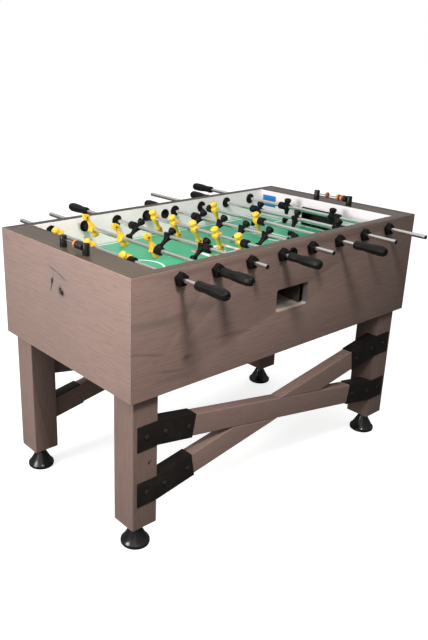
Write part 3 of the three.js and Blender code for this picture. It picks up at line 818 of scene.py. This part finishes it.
def emblem(y):
    """A plain white frame with a red patch in each corner and a disc in the middle."""
    half_x, half_y, band = EMBLEM["x"], EMBLEM["y"], EMBLEM["band"]
    patch_x, patch_y = EMBLEM["patch"]
    reach = half_y - band - PRINT_GAP
    for name, sign in (("front", -1), ("back", 1)):
        across = sorted((y + sign * half_y, y + sign * (half_y - band)))
        bar_strip(f"emblem_{name}", -half_x, half_x, *across)
        side = sorted((sign * half_x, sign * (half_x - band)))
        bar_strip(f"emblem_{name}_side", *side, y - reach, y + reach)
        for end, way in (("left", -1), ("right", 1)):
            patch = sorted((way * (half_x - 4 * MM), way * (half_x - 4 * MM - patch_x)))
            depth = sorted((y + sign * (half_y - 3 * MM), y + sign * (half_y - 3 * MM - patch_y)))
            bar_strip(f"emblem_{name}_{end}", *patch, *depth, "line_red", 0.3 * MM)
    ring_strip("emblem_disc", (0, y), 0.017, 0.026)


# ---------------- ball return and floor


def inside_boards():
    """The sloping return boards with the chute, and the cabinet's floor."""
    bm = bevel(welded("ball_return_tray"), 0.5 * MM, 1, 40)
    # Faces that don't face up get the painted shade; the up-facing ones get the boards' grey.
    paint_faces(bm, lambda centre, normal: 1 if normal.z > 0.5 else 0)
    make("return_boards", bm, "cabinet", ["tray_side", "tray_floor"],
         ("ball_return_tray",))
    floor = frame["nodes"]["cabinet_floor"].data
    floor.materials.clear()
    floor.materials.append(MATERIALS["inside_board"])


# ---------------- bearings and serve holes


def bearing_cup():
    """The outer cup: a five-sided block, point up, with a low ring round the rod."""
    face = CUP_FACE - 1.2 * MM
    radius = 24 * MM
    turns = [2 * math.pi * k / 5 for k in range(5)]
    points = [(radius * math.sin(turn), radius * math.cos(turn)) for turn in turns]
    shell = bevel(prism(points, -face, 0, along_y), 0.9 * MM, 2, 25)
    ring = lathe([(0, -CUP_FACE), (11.6 * MM, -CUP_FACE), (12.6 * MM, -face + 0.5 * MM),
                  (12.6 * MM, -face + 3 * MM), (0, -face + 3 * MM)])
    return carve(carve(shell, [ring], "UNION"), [rod_shape(9.6 * MM, -0.03, 0.01, 28)])


def bearing_flange():
    """The inner flange: a dished disc with a raised hub round the rod."""
    face = FLANGE_FACE / MM
    profile = [(9.4, 0), (22.0, 0), (22.5, 0.6), (22.5, 2.4), (21.6, 3.4), (19.0, 3.8), (15.6, 2.8),
               (14.6, 2.9), (13.6, 3.6), (13.2, face - 0.6), (12.6, face), (10.4, face),
               (9.4, face - 0.9), (9.4, 0)]
    return turned(profile, 40)


def serve_parts():
    """The serve hole's outer cup and inner ring."""
    cup = [(17.9, 0), (21, 0), (21, -3.8), (20.4, -5.2), (19.3, -6), (18.5, -5.7), (17.9, -4.8),
           (17.9, 0)]
    ring = [(17.9, 0), (20.5, 0), (20.5, 1.5), (19.9, 2.6), (18.9, 3), (17.9, 2.3), (17.9, 0)]
    return [turned(part, 48) for part in (cup, ring)]


def fitting(name, mesh, x, y, z, sign):
    place = Matrix.Translation((x, y, z)) @ Matrix.Rotation(0 if sign < 0 else math.pi, 4, "Z")
    make(name, mesh, "cabinet", [], matrix=place, angle=30)


def wall_fittings():
    """The bearings and serve rings, all from four shared meshes."""
    cup = shade(to_mesh("bearing_cup", bearing_cup()), 30)
    flange = shade(to_mesh("bearing_flange", bearing_flange()), 30)
    serve_cup, serve_ring = [shade(to_mesh("serve", bm), 30) for bm in serve_parts()]
    for mesh in (cup, flange, serve_cup, serve_ring):
        mesh.materials.append(MATERIALS["black_moulded"])
    for side, sign, outer, inner in (("front", -1, OUT_FRONT, IN_FRONT), ("back", 1, OUT_BACK, IN_BACK)):
        for rod in RODS:
            fitting(f"{rod['name']}_{side}_cup", cup, rod["x"], outer, rod["z"], sign)
            fitting(f"{rod['name']}_{side}_flange", flange, rod["x"], inner, rod["z"], sign)
        fitting(f"serve_{side}_cup", serve_cup, sign * SERVE_X, outer, SERVE_Z, sign)
        fitting(f"serve_{side}_ring", serve_ring, sign * SERVE_X, inner, SERVE_Z, sign)


# ---------------- legs, levelers, stretchers, brackets


def welded(node):
    """A CAD node's shape with its flat faces whole again, ready for bevels."""
    bm = bmesh.new()
    bm.from_mesh(frame["nodes"][node].data)
    bmesh.ops.remove_doubles(bm, verts=bm.verts, dist=0.01 * MM)
    bmesh.ops.dissolve_limit(bm, angle_limit=math.radians(1), verts=bm.verts, edges=bm.edges)
    return bm


LEG_MARKS = [
    ((-0.620, OUT_FRONT + 0.023, 0.326), (0.0030, 0.012, 0.0040), 0),
    ((-0.613, OUT_FRONT + 0.023, 0.331), (0.0022, 0.012, 0.0022), 0),
]
BRACE_REACH, BRACE_RISE, CROSSING_Z = 0.585, 0.102, 0.323
BOLT_SPOTS = (0.6320, 0.5550, 0.4550)


def underframe():
    """The legs with their levelers and brackets, and the crossed stretchers."""
    for side in ("front", "back"):
        for end in ("left", "right"):
            lo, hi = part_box(f"leg_{side}_{end}")
            bm = block(lo, hi, 5 * MM, 3)
            seed = len(side) * 0.37 + len(end) * 0.91
            marks, tone = (LEG_MARKS, 0.74) if (side, end) == ("front", "left") else ((), 0.84)
            material = wood(f"leg_{side}_{end}_wood", 2, (seed, seed * 2, 0.5), tone, marks=marks)
            make(f"leg_{side}_{end}_post", bm, "cabinet", [material],
                 (f"leg_{side}_{end}",))
            leveler(side, end)
            for level in ("upper", "lower"):
                bracket(side, end, level)
        for fall in ("falling", "rising"):
            way = (1 if fall == "falling" else -1) * (1 if side == "front" else -1)
            slope = math.atan2(BRACE_RISE, BRACE_REACH) * way
            bm = bevel(welded(f"stretcher_{side}_{fall}"), 4 * MM, 3, 60)
            offset = (0.4, 1.2, 3.0 + slope)
            material = wood(f"stretcher_{side}_{fall}_wood", 0, offset, turn=(0, slope, 0))
            make(f"brace_{side}_{fall}", bm, "cabinet", [material],
                 (f"stretcher_{side}_{fall}",))


def leveler(side, end):
    """A bell-shaped foot and its screw."""
    node = f"leveler_{side}_{end}"
    lo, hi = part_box(node)
    profile = [(0, 0), (43, 0), (46, 0.8), (49, 3.2), (50, 6.5), (50, 12), (49, 14.5), (45.5, 17.5),
               (42, 22), (33, 38), (25, 53), (19.5, 64), (16.8, 71), (16, 77), (16, 85.5),
               (15, 87.2), (13.5, 87.7), (8, 87.7), (8, 117), (7, 118), (0, 118)]
    bm = moved(turned(profile, 56, 2), (lo.x + hi.x) / 2, (lo.y + hi.y) / 2, lo.z)
    make(f"foot_{side}_{end}", bm, node, ["foot_black"], (node,))


def bracket(side, end, level):
    """A steel corner bracket and its three bolts."""
    node = f"bracket_{side}_{end}_{level}"
    bm = bevel(welded(node), 0.8 * MM, 2, 30)
    make(f"corner_{side}_{end}_{level}", bm, "cabinet",
         ["bracket_black"], (node,), 30)
    lo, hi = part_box(node)
    outward = -1 if side == "front" else 1
    face = lo.y if side == "front" else hi.y
    x_sign = -1 if end == "left" else 1
    up = 1 if level == "upper" else -1
    head = [(0, 0), (9.5, 0), (9.5, 0.8), (8.9, 2.2), (7.2, 3.7), (4.6, 4.6), (0, 5.0)]
    for k, reach in enumerate(BOLT_SPOTS, 1):
        rise = BRACE_RISE if reach > BRACE_REACH else BRACE_RISE / BRACE_REACH * reach
        bolt = moved(turned(head, 28, way=outward), x_sign * reach, face, CROSSING_Z + up * rise)
        make(f"bolt_{side}_{end}_{level}_{k}", bolt, "cabinet",
             ["bolt_black"], angle=50)


# ---------------- score counters

BEAD_PITCH = 10 * MM
POST_RADIUS = 12 * MM
RAIL_RISE = 25 * MM
SCORE_ROWS = {
    "score_beads_left": ["bead_black", "bead_black", "bead_black", "bead_green", "bead_orange"],
    "score_beads_right": ["bead_black", "bead_brown", "bead_pale", "bead_red", "bead_pale"],
    "score_bead_right": ["bead_rust"],
}


def score_counters():
    """The racks' posts and rails, and each bead on its row's body."""
    for side in ("left", "right"):
        node = f"score_rack_{side}"
        lo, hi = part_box(node)
        x = (lo.x + hi.x) / 2
        height = (hi.z - lo.z) / MM
        post = [(0, 0), (11.9, 0), (11.9, height - 2.4), (11.1, height - 0.9), (9.2, height), (0, height)]
        spots = lo.y + POST_RADIUS, hi.y - POST_RADIUS
        posts = [moved(turned(post, 36, 2), x, y, lo.z) for y in spots]
        rail = rod_shape(2.5 * MM, lo.y + 0.010, hi.y - 0.010, 20)
        paint_faces(moved(rail, x, 0, TOP_Z + RAIL_RISE), lambda centre, normal: 1)
        make(f"score_posts_{side}", merged(*posts, rail), "cabinet",
             ["post_black", "rod_steel"], (node,))
    bead = [(3.3, 0.1), (9.4, 0.1), (11.2, 0.7), (12.5, 2.0), (13.3, 3.6), (13.5, 5.0), (13.3, 6.4),
            (12.5, 8.0), (11.2, 9.3), (9.4, 9.9), (3.3, 9.9), (3.3, 0.1)]
    for node, colors in SCORE_ROWS.items():
        lo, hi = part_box(node)
        for k, color in enumerate(colors):
            bm = moved(turned(bead, 40), (lo.x + hi.x) / 2, lo.y + k * BEAD_PITCH, (lo.z + hi.z) / 2)
            make(f"{node}_{k + 1}", bm, node, [color], () if k else (node,), 40)


# ---------------- rods, men, bumpers, handles


def ball(centre, half, turn=0.0):
    """A stretched ball, tipped about Y. Millimetres."""
    bm = bmesh.new()
    place = Matrix.Translation([c * MM for c in centre]) @ Matrix.Rotation(math.radians(turn), 4, "Y")
    size = Matrix.Diagonal((half[0] * MM, half[1] * MM, half[2] * MM, 1))
    bmesh.ops.create_uvsphere(bm, u_segments=28, v_segments=18, radius=1, matrix=place @ size)
    return bm


def man_mesh():
    """A man facing +X on a rod along Y, from his cap down to the wedge foot."""
    body = [
        (-73.0, 7.4, 1.8, 8.2, 3), (-70.0, 6.6, 4.4, 9.2, 3), (-64.0, 4.2, 9.4, 9.9, 3),
        (-57.0, 2.0, 12.8, 10.2, 3), (-51.5, 0.9, 14.0, 10.2, 3), (-47.0, 0.4, 12.4, 9.6, 2.6),
        (-43.0, 0.3, 7.8, 8.0, 2.4), (-38.0, 0.2, 6.4, 7.2, 2.2), (-31.0, 0.0, 6.8, 7.6, 2.2),
        (-23.0, -0.2, 8.0, 9.0, 2.2), (-15.0, -0.4, 10.0, 11.0, 2.3), (-7.0, -0.6, 12.2, 12.2, 2.4),
        (2.0, -0.8, 13.0, 12.4, 2.4), (8.0, -0.8, 11.8, 12.4, 2.3), (11.5, -0.4, 8.6, 9.6, 2.2),
        (14.5, 0.2, 7.4, 7.8, 2.0), (18.0, 0.4, 7.4, 7.4, 2.0),
    ]
    torso = loft([(z * MM, c * MM, a * MM, b * MM, p) for z, c, a, b, p in body])
    head = ball((0.4, 0, 22.5), (14.2, 13.8, 10.6))
    cap = ball((0.2, 0, 27.6), (15.6, 15.2, 9.2))
    hub = turned([(0, -12.5), (11.4, -12.5), (12.6, -11.4), (13.0, -8), (13.0, 8), (12.6, 11.4),
                  (11.4, 12.5), (0, 12.5)], 36)
    arms = []
    for sign in (-1, 1):
        arms.append(ball((6.0, sign * 7.8, 5.8), (12.0, 4.6, 5.2), 28))
        arms.append(ball((14.0, sign * 7.4, 0.8), (6.0, 5.0, 6.2)))
    piece = link("man", to_mesh("man", merged(torso, head, cap, hub, *arms)))
    remesh = piece.modifiers.new("blend", "REMESH")
    remesh.mode = "VOXEL"
    remesh.voxel_size = 1.0 * MM
    smooth = piece.modifiers.new("soften", "SMOOTH")
    smooth.factor = 0.5
    smooth.iterations = 2
    thin = piece.modifiers.new("thin", "DECIMATE")
    thin.ratio = 0.32
    pin_x, pin_z, pin_radius = 2.5 * MM, -54 * MM, 3.5 * MM
    pins = [moved(rod_shape(pin_radius, near * MM, far * MM, 16), pin_x, 0, pin_z)
            for near, far in ((-20, -7.2), (7.2, 20))]
    bm = carve(evaluated(piece), [*pins, rod_shape(7.9 * MM, -0.03, 0.03, 24)])

    def rule(centre, normal):
        return 1 if math.hypot(centre.x - pin_x, centre.z - pin_z) < pin_radius + 0.1 * MM else 0

    return shade(to_mesh("man", paint_faces(bm, rule)), 60)


def bumper_mesh(name, bore):
    length = BUMPER_LENGTH / MM
    profile = [(bore, 0.3), (13.4, 0.3), (15.0, 1.2), (15.5, 3), (15.5, 10), (14.9, 11), (14.9, 12),
               (15.5, 13), (15.5, length - 3), (15.0, length - 1.2), (13.4, length - 0.3),
               (bore, length - 0.3), (bore, 0.3)]
    mesh = shade(to_mesh(name, turned(profile, 40)))
    mesh.materials.append(MATERIALS["rubber"])
    return mesh


def rod_tube(rod):
    """A hollow rod with chamfered ends, and the plug in its far end."""
    lo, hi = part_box(rod["name"])
    chamfer = 0.8 * MM
    inner = 5.5 * MM
    profile = [(inner, lo.y), (ROD_RADIUS - chamfer, lo.y), (ROD_RADIUS, lo.y + chamfer),
               (ROD_RADIUS, hi.y - chamfer), (ROD_RADIUS - chamfer, hi.y), (inner, hi.y), (inner, lo.y)]
    bm = moved(lathe(profile, 40), rod["x"], 0, rod["z"])

    # The tube's bore is painted shade.
    def rule(centre, normal):
        return 1 if math.hypot(centre.x - rod["x"], centre.z - rod["z"]) < inner + 0.05 * MM else 0

    make(f"{rod['name']}_tube", paint_faces(bm, rule), rod["name"],
         ["rod_steel", "dark_inside"], (rod["name"],), 40)
    plug = [(0, -12), (5.3, -12), (5.3, 0.1), (7.5, 0.1), (7.8, 0.7), (7.2, 1.6), (5.0, 2.2), (0, 2.4)]
    end, way = (lo.y, -1) if rod["side"] > 0 else (hi.y, 1)
    bm = moved(turned(plug, way=way), rod["x"], end, rod["z"])
    make(f"{rod['name']}_plug", bm, rod["name"], ["rubber"])


def handle(rod):
    """An eight-sided grip: a bulge by the hand's heel, a waist and a wide round end."""
    node = f"{rod['name']}_handle"
    lo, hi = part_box(node)
    length = (hi.y - lo.y) / MM
    profile = [(0, 106), (9.0, 106), (9.0, 0.8), (9.8, 0.2), (12.3, 0.2), (14.2, 1.4), (15.4, 4.5),
               (15.9, 9), (15.9, 17), (15.3, 25), (14.6, 34), (14.9, 42), (15.9, 52), (17.0, 62),
               (17.8, 74), (18.1, 85), (18.1, 106), (17.7, 114), (16.4, 120), (14.0, 124.6),
               (10.8, length - 0.6), (7.4, length), (4.2, length), (3.2, length - 1.2),
               (3.0, length - 8), (0, length - 8)]
    bm = bmesh.new()
    turns = [math.radians(45 * side + step) for side in range(8) for step in (-20.5, -10, 0, 10, 20.5)]
    rows = []
    for radius, position in profile:
        row = []
        for turn in turns[:1] if radius == 0 else turns:
            flat = math.cos(math.pi / 8) / math.cos((turn + math.pi / 8) % (math.pi / 4) - math.pi / 8)
            blend = min(1.0, max(0.0, (radius - 11) / 4)) * 0.92
            r = radius * (1 - blend + blend * flat) * MM
            row.append(bm.verts.new((r * math.cos(turn), position * MM, r * math.sin(turn))))
        rows.append(row)
    skin(bm, zip(rows, rows[1:]), len(turns))
    if rod["side"] < 0:
        bmesh.ops.rotate(bm, verts=bm.verts, matrix=Matrix.Rotation(math.pi, 3, "X"))
    bmesh.ops.rotate(bm, verts=bm.verts, matrix=Matrix.Rotation(math.radians(rod["turn"]), 3, "Y"))
    start = hi.y if rod["side"] < 0 else lo.y
    moved(bm, rod["x"], start, rod["z"])
    make(f"{rod['name']}_grip", bm, rod["name"], ["grip"], (node,), 13)


def rods():
    """Each rod's tube, handle, men and two bumpers."""
    men = {}
    shape = man_mesh()
    for team in ("yellow", "black"):
        men[team] = shape.copy()
        men[team].name = f"man_{team}"
        men[team].materials.append(MATERIALS[f"men_{team}"])
        # The black men's pin holes are painted shade.
        men[team].materials.append(MATERIALS["pin_red" if team == "yellow" else "dark_inside"])
    fixed = bumper_mesh("bumper_fixed", 8.0)
    loose = bumper_mesh("bumper_loose", 8.7)
    for rod in RODS:
        rod_tube(rod)
        handle(rod)
        half_span = (rod["men"] - 1) * rod["spacing"] / 2
        facing = 0 if rod["team"] == "yellow" else math.pi
        turn = Matrix.Rotation(math.radians(rod["turn"]), 4, "Y") @ Matrix.Rotation(facing, 4, "Z")
        for k in range(rod["men"]):
            y = rod["y"] - half_span + k * rod["spacing"]
            place = Matrix.Translation((rod["x"], y, rod["z"])) @ turn
            make(f"{rod['name']}_man_{k + 1}", men[rod["team"]], rod["name"], [],
                 matrix=place, angle=60)
        reach = half_span + MAN_HALF_WIDTH
        at = rod["y"] + reach if rod["side"] < 0 else rod["y"] - reach - BUMPER_LENGTH
        make(f"{rod['name']}_far_bumper", fixed, rod["name"], [],
             matrix=Matrix.Translation((rod["x"], at, rod["z"])))
        node = f"{rod['name']}_bumper"
        make(f"{rod['name']}_near_bumper", loose, f"{rod['name']}_carriage", [], (node,),
             matrix=Matrix.Translation((rod["x"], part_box(node)[0].y, rod["z"])))


# ---------------- small plate and stage


def wall_plate():
    """The plain blue plate on the far goal wall."""
    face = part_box("right_goal_wall")[0].x
    plate = block((face - 1.0 * MM, MIDDLE_Y + 0.254, 0.897),
                  (face - 0.05 * MM, MIDDLE_Y + 0.331, 0.947), 0.3 * MM)
    make("wall_plate", plate, "cabinet", ["plate_blue"])


def stage():
    """The floor: pale and plain to look at, and dim in the light that it throws back."""
    g = Graph("floor_pale")
    g.finish(Base_Color=g.mix(g.spots(3.0), (0.52, 0.52, 0.52), (0.56, 0.56, 0.555)), Roughness=0.85,
             Emission_Color=(1.0, 1.0, 1.0), Emission_Strength=0.70)
    dim = g.add("ShaderNodeBsdfDiffuse", Color=(0.12, 0.12, 0.12))
    seen = g.add("ShaderNodeLightPath").outputs["Is Camera Ray"]
    g.put(g.end, g.choose(seen, dim, g.surface).outputs[0])
    bm = bmesh.new()
    bm.faces.new([bm.verts.new((x * 40, y * 40, 0)) for x, y in ((-1, -1), (1, -1), (1, 1), (-1, 1))])
    mesh = to_mesh("floor", bm)
    mesh.materials.append(g.owner)
    link("floor", mesh)


add_camera()
add_studio()
side_wall("front_wall", -1, True)
side_wall("back_wall", 1, False)
end_wall("left", -1)
end_wall("right", 1)
playfield()
inside_boards()
wall_fittings()
underframe()
score_counters()
rods()
wall_plate()
stage()
